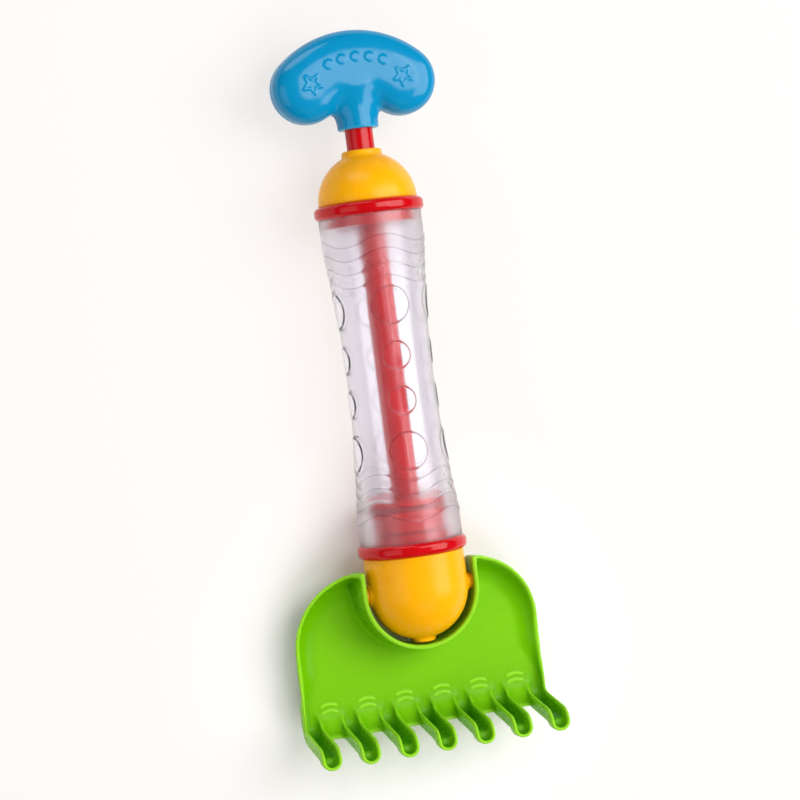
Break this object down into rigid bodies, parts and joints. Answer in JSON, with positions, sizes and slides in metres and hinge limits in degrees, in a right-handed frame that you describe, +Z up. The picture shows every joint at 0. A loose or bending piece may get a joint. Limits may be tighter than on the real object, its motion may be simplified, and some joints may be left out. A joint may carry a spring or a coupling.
{
  "type": "sand rake water squirter",
  "caption": "Beach toy: a wide channel-tined sand rake pivots on the round end of a clear waisted pump barrel with a kidney-shaped pull handle on a sliding plunger rod.",
  "frame": {"origin": "middle of the object's box, on the ground plane, with the toy lying on its two flange rings", "axes": "+Y along the barrel toward the handle, +Z up, the way the tines point, +X to the right"},
  "size_m": [0.1288, 0.3604, 0.055],
  "materials": {
    "clear_barrel": "clear, frosted between raised bubbles",
    "red_plastic": "glossy moulded",
    "yellow_plastic": "glossy moulded",
    "blue_plastic": "glossy moulded",
    "green_plastic": "glossy moulded",
    "black_rubber": "soft matt",
    "red_rubber": "soft matt"
  },
  "bodies": {
    "barrel": {"barrel": "clear_barrel", "upper_ring": "red_plastic", "lower_ring": "red_plastic", "upper_cap": "yellow_plastic", "lower_cap": "yellow_plastic", "lower_gasket": "black_rubber"},
    "seal": {"piston_seal": "red_rubber"},
    "plunger": {"piston": "red_plastic", "plunger_rod": "red_plastic", "handle_front": "blue_plastic", "handle_back": "blue_plastic"},
    "rake": {"rake_head": "green_plastic"}
  },
  "joints": [
    {"name": "plunger_slide", "type": "slide", "parent": "barrel", "child": "seal", "axis": [0, 1, 0], "range_m": [0, 0.1375]},
    {"name": "plunger_swivel", "type": "hinge", "parent": "seal", "child": "plunger", "pos_m": [0, 0, 0.0275], "axis": [0, 1, 0], "continuous": true},
    {"name": "rake_pivot", "type": "hinge", "parent": "barrel", "child": "rake", "pos_m": [0, -0.10038, 0.0275], "axis": [-1, 0, 0], "range_deg": [-90, 90]}
  ]
}
